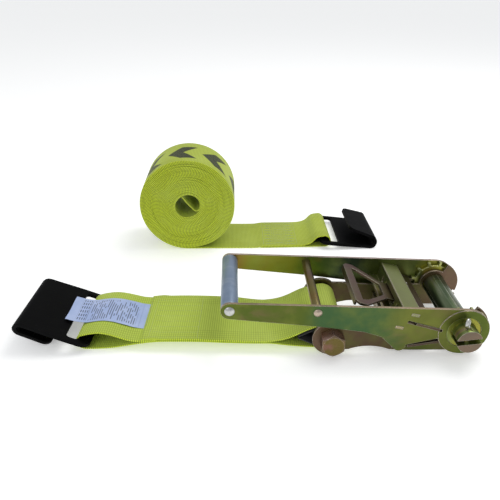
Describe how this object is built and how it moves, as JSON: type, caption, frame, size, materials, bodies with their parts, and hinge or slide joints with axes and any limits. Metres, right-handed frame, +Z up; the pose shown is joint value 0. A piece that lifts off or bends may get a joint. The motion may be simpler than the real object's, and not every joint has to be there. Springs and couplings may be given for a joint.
{
  "type": "ratchet tie down",
  "caption": "Wide ratchet strap set: ratchet with folding handle, pull-loop pawl and hooked short strap, with a rolled long strap that has its own flat hook.",
  "frame": {"origin": "centre of the whole set's footprint, on the plane it rests on", "axes": "+X from the short strap's hook towards the winding mandrel, +Y across the webbing towards the rolled strap, +Z up"},
  "size_m": [0.6147, 0.4506, 0.165],
  "materials": {
    "zinc_yellow": "yellow passivated zinc, iridescent green to brown",
    "zinc_bright": "bright zinc",
    "grip_paint": "grey-blue paint, satin",
    "hook_paint": "black paint, satin",
    "webbing": "neon yellow-green woven polyester",
    "sleeve": "black woven wear sleeve",
    "tag": "pale blue tag",
    "spring": "spring wire"
  },
  "bodies": {
    "frame": {"frame_side_front": "zinc_yellow", "frame_side_back": "zinc_yellow", "frame_cross_web": "zinc_yellow", "anchor_bolt": "zinc_yellow", "anchor_nut": "zinc_yellow", "anchor_spacer": "zinc_bright", "lock_pawl_springs": "spring"},
    "handle": {"handle_side_front": "zinc_yellow", "handle_side_back": "zinc_yellow", "handle_grip_tube": "grip_paint", "grip_rod": "zinc_bright", "handle_cross_rod": "zinc_yellow", "pawl_bracket": "zinc_yellow", "drive_pawl_springs": "spring"},
    "drive_pawl": {"drive_pawl": "zinc_yellow"},
    "lock_pawl": {"lock_pawl": "zinc_yellow"},
    "mandrel": {"mandrel_bar_upper": "zinc_yellow", "mandrel_bar_lower": "zinc_yellow", "ratchet_wheel_front": "zinc_yellow", "ratchet_wheel_back": "zinc_yellow", "cotter_pins": "zinc_bright"},
    "short_strap": {"short_strap": "webbing", "short_strap_sleeve": "sleeve"},
    "tag": {"strap_tag": "tag"},
    "short_hook": {"short_strap_hook": "hook_paint"},
    "long_strap": {"long_strap_roll": "webbing", "long_strap_tail": "webbing"},
    "long_hook": {"long_strap_hook": "hook_paint"}
  },
  "joints": [
    {"name": "handle_swing", "type": "hinge", "parent": "frame", "child": "handle", "pos_m": [0.2725, -0.136, 0.039], "axis": [0, 1, 0], "range_deg": [0, 195]},
    {"name": "drive_pawl_slide", "type": "slide", "parent": "handle", "child": "drive_pawl", "axis": [-0.9553, 0, 0.2957], "range_m": [0, 0.009], "deforming": ["drive_pawl_springs"]},
    {"name": "lock_pawl_slide", "type": "slide", "parent": "frame", "child": "lock_pawl", "axis": [-0.9888, 0, -0.1495], "range_m": [0, 0.009], "deforming": ["lock_pawl_springs"]},
    {"name": "mandrel_spin", "type": "hinge", "parent": "frame", "child": "mandrel", "pos_m": [0.2725, -0.136, 0.039], "axis": [0, 1, 0], "continuous": true},
    {"name": "short_strap_swing", "type": "hinge", "parent": "frame", "child": "short_strap", "pos_m": [0.1065, -0.136, 0.025], "axis": [0, 1, 0], "range_deg": [-60, 10]},
    {"name": "tag_flap", "type": "hinge", "parent": "short_strap", "child": "tag", "pos_m": [-0.14206, -0.12306, 0.0144], "axis": [0.0523, 0.9986, 0], "range_deg": [0, 75]},
    {"name": "short_hook_swing", "type": "hinge", "parent": "short_strap", "child": "short_hook", "pos_m": [-0.21417, -0.12328, 0.0116], "axis": [0.0523, 0.9986, 0], "range_deg": [-75, 1]},
    {"name": "long_strap_lift", "type": "slide", "parent": "frame", "child": "long_strap", "axis": [0, 0, 1], "range_m": [0, 0.3]},
    {"name": "long_hook_swing", "type": "hinge", "parent": "long_strap", "child": "long_hook", "pos_m": [0.1435, 0.1656, 0.0116], "axis": [0, -1, 0], "range_deg": [-60, 85]}
  ]
}
